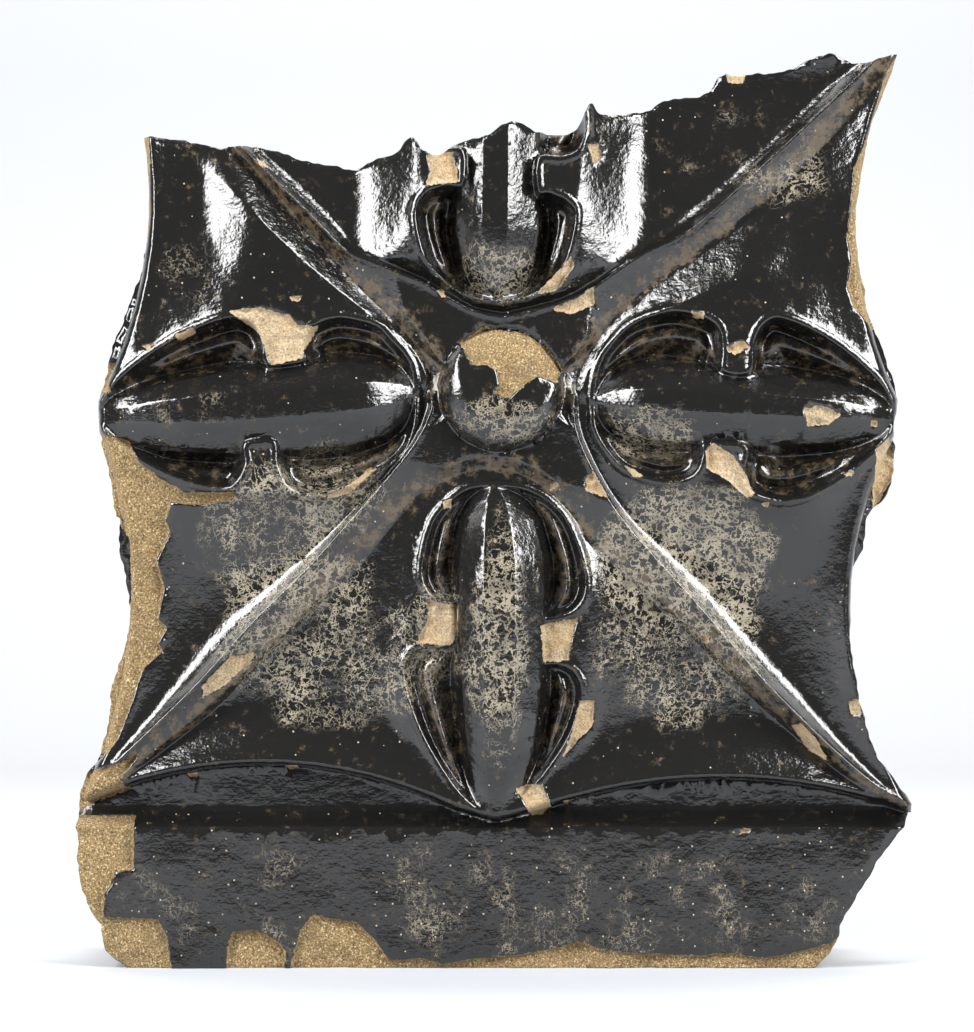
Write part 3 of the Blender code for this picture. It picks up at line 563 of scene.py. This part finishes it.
def petal_height(petal, x, z):
    """Height of a petal: flanks, rim, hollow with its leaves, and bud."""
    a, b, length = petal_places(petal, x, z)
    from_arch = np.minimum(*(path_distance(x, z, spline(half)) for half in petal["arch"]))
    from_hollow = -signed_distance(x, z, hollow_ring(petal))
    rim = softened(a, RIM_PLACES, petal["rim"])
    roll_drop, dish_depth, outward_fall = petal["flank"]
    left = ease(b * length / SIDE_BLEND + 0.5)
    slope, sweep_width, bulge_width, steepness = (
        two_sided(petal[key], left) for key in ("slope", "sweep", "bulge", "pillow"))
    crested, bulged, pillowed = (used_sides(petal[key], left) for key in ("sweep", "bulge", "pillow"))

    outside = np.maximum(-signed_distance(x, z, hollow_ring(petal, cusped=False)), 0.0)
    span = outside + from_arch
    t = outside / np.maximum(span, 1e-6)
    wide = ease((span - DISH_START) / DISH_RANGE)
    valley = CROSS_LEVEL - RIB_DROP - outward_fall * np.maximum(a, 0.0)
    roll = roll_drop * ease(outside / ROLL_WIDTH) * ease(span / ROLL_SPAN)
    beyond = np.maximum(np.abs(b) * length - BULGE_START, 0.0)
    bulge = 1.0 - ease(beyond / np.maximum(bulge_width, 1e-6))
    bulge = np.minimum(bulge, np.sin(0.5 * math.pi * np.clip(from_arch / BULGE_FOOT, 0.0, 1.0)))
    fall = (1.0 - t) ** slope
    fall += bulged * (bulge - fall)
    rise = np.minimum(steepness * from_arch / np.maximum(rim - valley, 1e-6), 1.0)
    fall += pillowed * (1.0 - ease((a - PILLOW_END) / PILLOW_FADE + 0.5)) * (rise - fall)
    flank = valley + (rim - roll - valley) * fall
    flank -= crested * dish_depth * wide * 4.0 * t * (1.0 - t)
    reach = np.maximum(np.minimum(SWEEP_SHARE * span, sweep_width), BEVEL_WIDTH / 2.0)
    sweep = np.clip(1.0 - from_arch / reach, 0.0, 1.0)
    ramp = np.clip(1.0 - from_arch / (BEVEL_WIDTH / 2.0), 0.0, 1.0)
    flank += crested * (CROSS_LEVEL - valley) * sweep ** SWEEP_POWER
    flank += (1.0 - crested) * (CROSS_LEVEL - RIB_DROP - valley) * ramp
    bead = np.clip(1.0 - (np.maximum(from_hollow, 0.0) / RIM_BEAD_WIDTH - 0.5) ** 2 * 4.0, 0.0, 1.0)
    flank += RIM_BEAD * np.sqrt(bead)

    bud, beside = bud_height(petal, a, b, length)
    within = np.maximum(-from_hollow, 0.0)
    place = beside / np.maximum(beside + within, 1e-6)
    leaf = LEAF_HEIGHT * np.exp(-((place - LEAF_PLACE) / LEAF_SPREAD) ** 2)
    leaf *= ease((beside + within) / LEAF_FULL_WIDTH)
    floor = HOLLOW_FLOOR + leaf
    hollow = rim - (rim - floor) * np.clip(within / HOLLOW_WALL, 0.0, 1.0) ** 0.7
    return np.maximum(np.where(from_hollow > 0.0, flank, hollow), bud)


def flower_height(x, z):
    """Height of the flower's surface, before its outer edge is rolled over."""
    from_crest = np.full(x.shape, FAR)
    from_groove = np.full(x.shape, FAR)
    for petal in PETALS.values():
        for half, sweep_width in zip(petal["arch"], petal["sweep"]):
            distance = path_distance(x, z, spline(half))
            if sweep_width > 0.0:
                from_crest = np.minimum(from_crest, distance)
            else:
                from_groove = np.minimum(from_groove, distance)
    total = from_crest + from_groove
    narrow = ease((RIB_MERGE_WIDTH - total) / RIB_MERGE_RANGE)
    strip = BEVEL_WIDTH + (total - BEVEL_WIDTH) * narrow
    height = CROSS_LEVEL - RIB_DROP * np.clip(1.0 - from_groove / strip, 0.0, 1.0)
    for petal in PETALS.values():
        here = inside(x, z, petal_region(petal))
        height[here] = petal_height(petal, x[here], z[here])
    return height + CREST_BEAD * np.exp(-(from_crest / CREST_BEAD_WIDTH) ** 2)


def boss_height(x, z):
    """Height of the central boss, a dome whose upper part is chipped to a flat."""
    radius = np.hypot(x - BOSS_CENTRE[0], z - BOSS_CENTRE[1])
    share = np.clip(radius / BOSS_RADIUS, 0.0, 1.0)
    dome = BOSS_BASE + (BOSS_LEVEL - BOSS_BASE) * np.sqrt(1.0 - share ** BOSS_CURVE)
    from_chip = np.hypot(x - BOSS_CENTRE[0] - BOSS_CHIP_OFFSET[0],
                         z - BOSS_CENTRE[1] - BOSS_CHIP_OFFSET[1])
    return dome - BOSS_CHIP_DEPTH * ease((BOSS_CHIP_REACH - from_chip) / BOSS_CHIP_SOFTNESS), radius


def front_height(x, z):
    """Height of the front above the wall face."""
    z = z - BAND_HEIGHT
    wall = BAND_RELIEF * (1.0 - np.clip(z / COVE_HEIGHT, 0.0, 1.0)) ** COVE_CURVE
    ring = np.vstack([arc(start, end, bow) for start, end, bow in FLOWER_EDGE])
    edge = signed_distance(x, z, ring)
    flower = flower_height(x, z)
    lip = np.clip(1.0 - edge / LIP_WIDTH, 0.0, 1.0) ** 2
    flower += np.maximum(LIP_LEVEL - flower, 0.0) * lip
    boss, radius = boss_height(x, z)
    flower = np.where(radius < BOSS_RADIUS, boss, flower)
    roll = np.sqrt(1.0 - (1.0 - np.clip(edge / EDGE_ROLL, 0.0, 1.0)) ** 2)
    return np.maximum(wall, flower * roll)


def back_depth(x, z):
    """How far the back stands behind the wall face: shell, foot and two webs."""
    rise = BLOCK_DEPTH - RELIEF_HEIGHT - SHELL_THICKNESS
    raised = 1.0 - np.clip((z - FOOT_THICKNESS) / CELL_DRAFT + 0.5, 0.0, 1.0)
    for side in (-1.0, 1.0):
        beyond = np.abs(x - side * WEB_SPACING / 2.0) - WEB_THICKNESS / 2.0
        web = 1.0 - np.clip(beyond / CELL_DRAFT + 0.5, 0.0, 1.0)
        top = WEB_BREAK_HEIGHT + side * WEB_BREAK_STEP / 2.0
        raised = np.maximum(raised, web * (1.0 - np.clip((z - top) / WEB_BREAK_SLOPE, 0.0, 1.0)))
    fillet = FILLET_DEPTH * np.exp(-np.maximum(z - FOOT_THICKNESS, 0.0) / CELL_FILLET)
    return SHELL_THICKNESS + np.maximum(rise * raised, fillet)


def ragged(count, seed):
    """Repeatable roughness along a broken edge, about -1 to 1, and 0 at both ends."""
    rng = np.random.default_rng(seed)
    t = np.linspace(0.0, 1.0, count)
    total = np.zeros(count)
    for waves in (9, 17, 31, 53, 79):
        total += math.sqrt(9.0 / waves) * np.sin(2.0 * math.pi * (waves * t + rng.random()))
    return 0.45 * total * np.minimum(1.0, 30.0 * t * (1.0 - t))


def even_curve(points, count):
    """A spline through the points, resampled to evenly spaced places."""
    curve = spline(points)
    travelled = np.concatenate(([0.0], np.cumsum(np.hypot(*np.diff(curve, axis=0).T))))
    places = np.linspace(0.0, travelled[-1], count)
    return np.stack([np.interp(places, travelled, curve[:, k]) for k in (0, 1)], axis=1)


def over_band(points):
    """Points whose heights are given above the band, in the block's own heights."""
    return [(x, z + BAND_HEIGHT) for x, z in points]


def along_band(points):
    """Points whose heights are given as shares of the band's height."""
    return [(x, z * BAND_HEIGHT) for x, z in points]


def outline_grid(columns, rows):
    """Grid of (x, z) points that fills the outline between its four edges."""
    left = even_curve(along_band(LEFT_FOOT) + over_band(LEFT_EDGE), rows)
    right = even_curve(along_band(RIGHT_FOOT) + over_band(RIGHT_EDGE), rows)
    top = even_curve(over_band(TOP_EDGE), columns)
    left[:, 0] += BREAK_ROUGHNESS * ragged(rows, 1)
    right[:, 0] += BREAK_ROUGHNESS * ragged(rows, 2)
    top[:, 1] += BREAK_ROUGHNESS * ragged(columns, 3)
    foot = np.stack((np.linspace(left[0, 0], right[0, 0], columns), np.zeros(columns)), axis=1)
    u = np.linspace(0.0, 1.0, columns)[None, :, None]
    v = np.linspace(0.0, 1.0, rows)[:, None, None]
    blend = (1 - v) * foot[None] + v * top[None] + (1 - u) * left[:, None] + u * right[:, None]
    corners = ((1 - u) * (1 - v) * left[0] + u * (1 - v) * right[0]
               + (1 - u) * v * left[-1] + u * v * right[-1])
    grid = blend - corners
    return grid[..., 0], grid[..., 1]


def rim_indices(rows, columns):
    """Grid places round the outline, counter-clockwise seen from the front."""
    foot = [(0, c) for c in range(columns - 1)]
    right = [(r, columns - 1) for r in range(rows - 1)]
    top = [(rows - 1, c) for c in range(columns - 1, 0, -1)]
    left = [(r, 0) for r in range(rows - 1, 0, -1)]
    return foot + right + top + left


def smooth_noise(x, z, cell, seed):
    """Smooth repeatable noise from -1 to 1, with features about a cell wide."""
    rng = np.random.default_rng(seed)
    table = rng.uniform(-1.0, 1.0, (64, 64))
    gx, gz = x / cell + 100.0, z / cell + 100.0
    ix, iz = np.floor(gx).astype(int), np.floor(gz).astype(int)
    fx, fz = ease(gx - ix), ease(gz - iz)

    def corner(dx, dz):
        return table[(iz + dz) % 64, (ix + dx) % 64]

    low = corner(0, 0) * (1 - fx) + corner(1, 0) * fx
    high = corner(0, 1) * (1 - fx) + corner(1, 1) * fx
    return low * (1 - fz) + high * fz


def layered_noise(x, z, layers):
    """Sum of smooth noises, each with its strength, cell and seed."""
    return sum(strength * smooth_noise(x, z, cell, seed) for strength, cell, seed in layers)


def loss_distance(losses, x, z):
    """Signed distance to the nearest of the outlined losses, positive within them."""
    best = np.full(x.shape, -FAR)
    for outline in losses.values():
        ring = np.array(outline)
        near = near_ring(x, z, ring, LOSS_MARGIN)
        best[near] = np.maximum(best[near], signed_distance(x[near], z[near], ring))
    return best


def crazed_share(x, z):
    """How far the glaze is crazed at each place, 0 to 1."""
    share = np.zeros(x.shape)
    for centre_x, centre_z, half_width, half_height, strength in CRAZED:
        reach = np.hypot((x - centre_x) / half_width, (z - centre_z) / half_height)
        share += strength * ease(CRAZED_CORE - CRAZED_FALL * reach)
    return np.minimum(share, 1.0)


def dusty_share(x, z):
    """Where brown dust lies: on the ribs' slopes, round the inner ends and in the hollows."""
    share = np.zeros(x.shape)
    in_petals = np.zeros(x.shape, dtype=bool)
    from_groove = np.full(x.shape, FAR)
    for petal in PETALS.values():
        in_petals |= inside(x, z, petal_region(petal))
        for half, sweep_width in zip(petal["arch"], petal["sweep"]):
            if sweep_width == 0.0:
                from_groove = np.minimum(from_groove, path_distance(x, z, spline(half)))
        ring = hollow_ring(petal)
        near = near_ring(x, z, ring)
        _, beside = bud_height(petal, *petal_places(petal, x[near], z[near]))
        depth = signed_distance(x[near], z[near], ring)
        dust = HOLLOW_DUST * ease(depth / HOLLOW_WALL) * ease(beside / HOLLOW_WALL)
        share[near] = np.maximum(share[near], dust)
    ribs = np.where(in_petals, ease(1.0 - from_groove / PETAL_DUST_REACH),
                    ease(1.2 - from_groove / RIB_DUST_REACH))
    return np.maximum(share, RIB_DUST * ribs)


def dressed_height(x, z):
    """Front height with hand-modelled unevenness and the losses cut in, and the glaze's attributes."""
    height = front_height(x, z)
    above = z - BAND_HEIGHT
    uneven = layered_noise(x, z, UNEVEN)
    chip = loss_distance(CHIPS, x, above)
    worn = loss_distance(WORN, x, above)
    grain = layered_noise(x, z, GRAIN)
    lumps = layered_noise(x, z, LUMPS) + GRAIN_IN_LUMPS * grain
    cut = CHIP_DEPTH * ease((chip + LOSS_LAP) / LOSS_SLOPE) * (1.0 + grain)
    wear = WORN_DEPTH * ease((worn + LOSS_LAP) / LOSS_SLOPE) * (1.0 + lumps)
    wear = np.maximum(wear, LEDGE_DEPTH * ease(loss_distance(LEDGES, x, above) / LOSS_SLOPE + 0.5))
    attributes = {"chip": chip, "worn": worn, "crazed": crazed_share(x, above),
                  "dusty": dusty_share(x, above)}
    return height + uneven - np.maximum(cut, wear), attributes


def build_mesh(name):
    """The closed body: front and back sheets, and the broken sides between them."""
    x, z = outline_grid(GRID_COLUMNS, GRID_ROWS)
    wall_face = -BLOCK_DEPTH / 2.0 + RELIEF_HEIGHT
    height, attributes = dressed_height(x, z)
    front = wall_face - height
    back = wall_face + back_depth(x, z)
    points = [np.stack((x, sheet, z), axis=-1).reshape(-1, 3) for sheet in (front, back)]

    rim = rim_indices(GRID_ROWS, GRID_COLUMNS)
    rim_rows = np.array([place[0] for place in rim])
    rim_columns = np.array([place[1] for place in rim])
    loop = np.stack((x[rim_rows, rim_columns], z[rim_rows, rim_columns]), axis=1)
    tangent = np.roll(loop, -1, axis=0) - np.roll(loop, 1, axis=0)
    inward = np.stack((-tangent[:, 1], tangent[:, 0]), axis=1)
    inward /= np.maximum(np.hypot(*inward.T), 1e-9)[:, None]
    clear_of_foot = ease(loop[:, 1] / BREAK_CLEAR)[:, None]
    front_rim = front[rim_rows, rim_columns]
    back_rim = back[rim_rows, rim_columns]
    for row in range(1, SIDE_ROWS):
        share = row / SIDE_ROWS
        roughness = (0.5 + 0.5 * ragged(len(rim), 10 + row))[:, None]
        depth = BREAK_DEPTH * math.sin(math.pi * share) * roughness
        place = loop + inward * depth * clear_of_foot
        level = front_rim + (back_rim - front_rim) * share
        points.append(np.stack((place[:, 0], level, place[:, 1]), axis=1))

    count = GRID_ROWS * GRID_COLUMNS
    index = np.arange(count).reshape(GRID_ROWS, GRID_COLUMNS)
    quads = np.stack((index[:-1, :-1], index[:-1, 1:], index[1:, 1:], index[1:, :-1]), axis=-1)
    quads = quads.reshape(-1, 4)
    faces = [quads, quads[:, ::-1] + count]
    ring = index[rim_rows, rim_columns]
    levels = [ring] + [2 * count + len(rim) * row + np.arange(len(rim)) for row in range(SIDE_ROWS - 1)]
    levels.append(ring + count)
    for near, far in zip(levels, levels[1:]):
        faces.append(np.stack((near, far, np.roll(far, -1), np.roll(near, -1)), axis=1))

    points = np.vstack(points)
    (low_x, _, _), (high_x, high_y, _) = CAD_BOX
    shift = ((low_x + high_x) / 2.0 - (points[:, 0].min() + points[:, 0].max()) * MM / 2.0,
             high_y - points[:, 1].max() * MM, 0.0)
    mesh = bpy.data.meshes.new(name)
    mesh.from_pydata((points * MM + shift).tolist(), [], np.vstack(faces).tolist())
    outside = {"chip": -FAR, "worn": -FAR, "crazed": 0.0, "dusty": 0.0, "bare": 5.0}
    attributes["bare"] = np.full(x.shape, -5.0)
    for label, value in outside.items():
        values = np.full(len(points), value)
        values[:count] = attributes[label].reshape(-1)
        mesh.attributes.new(label, "FLOAT", "POINT").data.foreach_set("value", values.astype(np.float32))
    return mesh


class Nodes:
    """Small helper that adds and joins shader nodes."""

    def __init__(self, material):
        material.use_nodes = True
        self.tree = material.node_tree
        self.shader = self.tree.nodes["Principled BSDF"]

    def add(self, kind, **settings):
        node = self.tree.nodes.new(kind)
        for key, value in settings.items():
            setattr(node, key, value)
        return node

    def join(self, source, target):
        self.tree.links.new(source, target)

    def feed(self, target, value):
        if isinstance(value, bpy.types.NodeSocket):
            self.join(value, target)
        else:
            target.default_value = value

    def math(self, operation, first, second=0.0):
        node = self.add("ShaderNodeMath", operation=operation)
        self.feed(node.inputs[0], first)
        self.feed(node.inputs[1], second)
        return node.outputs[0]

    def attribute(self, name):
        return self.add("ShaderNodeAttribute", attribute_name=name).outputs["Fac"]

    def noise(self, vector, name):
        node = self.add("ShaderNodeTexNoise")
        for key, value in zip(("Scale", "Detail", "Roughness"), NOISES[name]):
            node.inputs[key].default_value = value
        self.join(vector, node.inputs["Vector"])
        return node.outputs["Fac"]

    def iso_distance(self, vector, name):
        """How far a noise is from its middle value."""
        return self.math("ABSOLUTE", self.math("SUBTRACT", self.noise(vector, name), 0.5))

    def voronoi(self, vector, scale, feature):
        node = self.add("ShaderNodeTexVoronoi", feature=feature)
        node.inputs["Scale"].default_value = scale
        self.join(vector, node.inputs["Vector"])
        return node

    def stretch(self, vector, scale):
        node = self.add("ShaderNodeMapping")
        node.inputs["Scale"].default_value = scale
        self.join(vector, node.inputs["Vector"])
        return node.outputs["Vector"]

    def spread(self, value, low, high, out_low=0.0, out_high=1.0):
        node = self.add("ShaderNodeMapRange", interpolation_type="SMOOTHSTEP")
        self.feed(node.inputs["Value"], value)
        limits = {"From Min": low, "From Max": high, "To Min": out_low, "To Max": out_high}
        for key, limit in limits.items():
            node.inputs[key].default_value = limit
        return node.outputs["Result"]

    def blend(self, factor, first, second):
        node = self.add("ShaderNodeMix", data_type="RGBA")
        self.feed(node.inputs["Factor"], factor)
        self.feed(node.inputs[6], first)
        self.feed(node.inputs[7], second)
        return node.outputs[2]

    def ramp(self, value, stops):
        node = self.add("ShaderNodeValToRGB")
        elements = node.color_ramp.elements
        while len(elements) < len(stops):
            elements.new(0.5)
        for element, (place, colour) in zip(elements, stops):
            element.position = place
            element.color = (*colour, 1.0)
        self.join(value, node.inputs["Fac"])
        return node.outputs["Color"]

    def bump(self, height, strength, distance, normal=None):
        node = self.add("ShaderNodeBump")
        self.feed(node.inputs["Height"], height)
        self.feed(node.inputs["Strength"], strength)
        node.inputs["Distance"].default_value = distance
        if normal is not None:
            self.join(normal, node.inputs["Normal"])
        return node.outputs["Normal"]


def tile_material():
    """Black glaze with beige crazing and brown dust, and bare clay where it is lost."""
    material = bpy.data.materials.new("black_glaze")
    n = Nodes(material)
    place = n.add("ShaderNodeTexCoord").outputs["Object"]

    # Bare clay, weathered or fresh
    edge = n.math("MULTIPLY", n.math("SUBTRACT", n.noise(place, "clay_edge"), 0.5), 3.0)
    chip = n.spread(n.math("ADD", n.attribute("chip"), edge), -0.08, 0.08)
    worn = n.math("MAXIMUM", n.math("ADD", n.attribute("worn"), edge), n.attribute("bare"))
    worn = n.spread(worn, -0.08, 0.08)
    clay = n.math("MAXIMUM", chip, worn)
    grain = n.noise(place, "clay_grain")
    stain = n.noise(place, "clay_stain")
    worn_colour = n.blend(n.spread(stain, 0.52, 0.72, 0.0, 0.5), n.ramp(grain, WORN_CLAY), WORN_STAIN)
    on_sides = n.spread(n.attribute("bare"), 0.0, 0.5)
    soot = n.spread(n.noise(place, "soot"), 0.48, 0.68, 0.0, 0.55)
    lime = n.spread(n.noise(place, "lime"), 0.58, 0.70, 0.0, 0.5)
    worn_colour = n.blend(n.math("MULTIPLY", soot, on_sides), worn_colour, SOOT)
    worn_colour = n.blend(n.math("MULTIPLY", lime, on_sides), worn_colour, LIME)
    chip_colour = n.blend(n.spread(stain, 0.45, 0.60, 0.0, 0.35), n.ramp(grain, CHIPPED_CLAY), CHIP_STAIN)
    clay_colour = n.blend(chip, worn_colour, chip_colour)

    # Glaze
    crazed = n.attribute("crazed")
    cluster = n.math("ADD", crazed, n.math("MULTIPLY", n.noise(place, "lace_clusters"), 1.4))
    width = n.spread(cluster, 0.90, 1.80, -0.010, 0.031)
    line = n.math("MINIMUM", n.iso_distance(place, "lace_first"), n.iso_distance(place, "lace_second"))
    strength = n.spread(n.noise(place, "lace_strength"), 0.35, 0.65, 0.5, 0.95)
    lace = n.math("MULTIPLY", n.spread(n.math("SUBTRACT", width, line), -0.002, 0.010), strength)
    dot = n.voronoi(place, SPECK_SCALE, "F1")
    speck = n.math("MULTIPLY", n.spread(dot.outputs["Distance"], 0.07, 0.10, 1.0, 0.0),
                   n.spread(dot.outputs["Color"], 0.63, 0.68))
    dusty = n.math("ADD", n.noise(place, "dust"), n.math("MULTIPLY", n.attribute("dusty"), 0.20))
    dusty = n.spread(dusty, 0.56, 0.76)
    glaze_colour = n.blend(n.math("MULTIPLY", dusty, 0.85), GLAZE_BLACK, GLAZE_DUST)
    lace_colour = n.blend(n.spread(crazed, 0.35, 0.6), LACE_BROWN, LACE_BEIGE)
    glaze_colour = n.blend(lace, glaze_colour, lace_colour)
    glaze_colour = n.blend(n.math("MULTIPLY", speck, 0.8), glaze_colour, SPECK)

    # Surface
    normal = n.bump(n.noise(place, "wrinkle"), 1.0, 0.00010)
    normal = n.bump(n.noise(n.stretch(place, (0.4, 1.0, 1.0)), "brushed"), 0.5, 0.0003, normal)
    normal = n.bump(n.noise(place, "peel"), 0.5, 0.0006, normal)
    rough_clay = n.math("MULTIPLY", n.noise(place, "clay_roughness"), clay)
    normal = n.bump(rough_clay, 0.9, 0.0010, normal)
    matt = n.math("MAXIMUM", n.math("MULTIPLY", lace, 0.6), n.math("MULTIPLY", dusty, 0.8))
    gloss = n.math("ADD", GLAZE_ROUGHNESS, n.math("MULTIPLY", matt, MATT_SHARE))
    roughness = n.math("MAXIMUM", gloss, n.math("MULTIPLY", clay, CLAY_ROUGHNESS))

    n.join(n.blend(clay, glaze_colour, clay_colour), n.shader.inputs["Base Color"])
    n.join(roughness, n.shader.inputs["Roughness"])
    n.join(normal, n.shader.inputs["Normal"])
    n.shader.inputs["IOR"].default_value = GLAZE_IOR
    return material


def build_tile():
    """The fine tile that stands for the CAD solid."""
    mesh = build_mesh("tile_relief")
    mesh.materials.append(tile_material())
    tile = bpy.data.objects.new("tile_relief", mesh)
    bpy.context.scene.collection.objects.link(tile)
    reduce = tile.modifiers.new("reduce", "DECIMATE")
    reduce.ratio = TRIANGLE_BUDGET / (2.0 * len(mesh.polygons))
    evaluated = tile.evaluated_get(bpy.context.evaluated_depsgraph_get())
    reduced = bpy.data.meshes.new_from_object(evaluated)
    tile.modifiers.clear()
    tile.data = reduced
    reduced.shade_smooth()
    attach(tile, "root")
    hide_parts("ornament_tile")


def stage_material(name, colour, roughness):
    material = bpy.data.materials.new(name)
    material.use_nodes = True
    shader = material.node_tree.nodes["Principled BSDF"]
    shader.inputs["Base Color"].default_value = colour
    shader.inputs["Roughness"].default_value = roughness
    return material


def build_stage():
    """Pale floor that sweeps up behind the tile."""
    profile = [(FLOOR_FRONT, 0.0), (FLOOR_BACK, 0.0)]
    for step in range(1, SWEEP_STEPS + 1):
        angle = 0.5 * math.pi * step / SWEEP_STEPS
        profile.append((FLOOR_BACK + SWEEP_RADIUS * math.sin(angle),
                        SWEEP_RADIUS * (1.0 - math.cos(angle))))
    profile.append((FLOOR_BACK + SWEEP_RADIUS, BACKDROP_TOP))
    verts = [(x, y, z) for x in (-FLOOR_HALF_WIDTH, FLOOR_HALF_WIDTH) for y, z in profile]
    count = len(profile)
    faces = [(k, k + 1, count + k + 1, count + k) for k in range(count - 1)]
    mesh = bpy.data.meshes.new("sweep")
    mesh.from_pydata(verts, [], faces)
    mesh.shade_smooth()
    mesh.materials.append(stage_material("sweep", FLOOR_COLOUR, FLOOR_ROUGHNESS))
    sweep = bpy.data.objects.new("sweep", mesh)
    bpy.context.scene.collection.objects.link(sweep)


def add_light(name, place, target, size, power, colour):
    data = bpy.data.lights.new(name, "AREA")
    data.shape = "RECTANGLE"
    data.size, data.size_y = size
    data.energy = power
    data.color = colour
    light = bpy.data.objects.new(name, data)
    bpy.context.scene.collection.objects.link(light)
    light.location = place
    direction = Vector(target) - Vector(place)
    light.rotation_euler = direction.to_track_quat("-Z", "Y").to_euler()


def build_lights():
    """Two softboxes at the sides and a soft light over the backdrop."""
    for name, settings in LIGHTS.items():
        add_light(name, *settings)
    world = bpy.data.worlds.new("studio")
    bpy.context.scene.world = world
    world.use_nodes = True
    background = world.node_tree.nodes["Background"]
    background.inputs["Color"].default_value = (*WHITE, 1.0)
    background.inputs["Strength"].default_value = WORLD_STRENGTH


def build_camera():
    """Level camera in front of the tile's face, at half its height."""
    data = bpy.data.cameras.new("camera")
    data.sensor_fit = "VERTICAL"
    data.sensor_height = SENSOR_HEIGHT
    data.lens = data.sensor_height * CAMERA_DISTANCE / FRAME_HEIGHT
    camera = bpy.data.objects.new("camera", data)
    bpy.context.scene.collection.objects.link(camera)
    camera.location = (FRAME_CENTRE_X, REFERENCE_PLANE - CAMERA_DISTANCE, CAMERA_HEIGHT)
    camera.rotation_euler = (math.radians(90.0), 0.0, 0.0)
    bpy.context.scene.camera = camera


build_tile()
build_stage()
build_lights()
build_camera()
bpy.context.scene.view_settings.view_transform = "Standard"
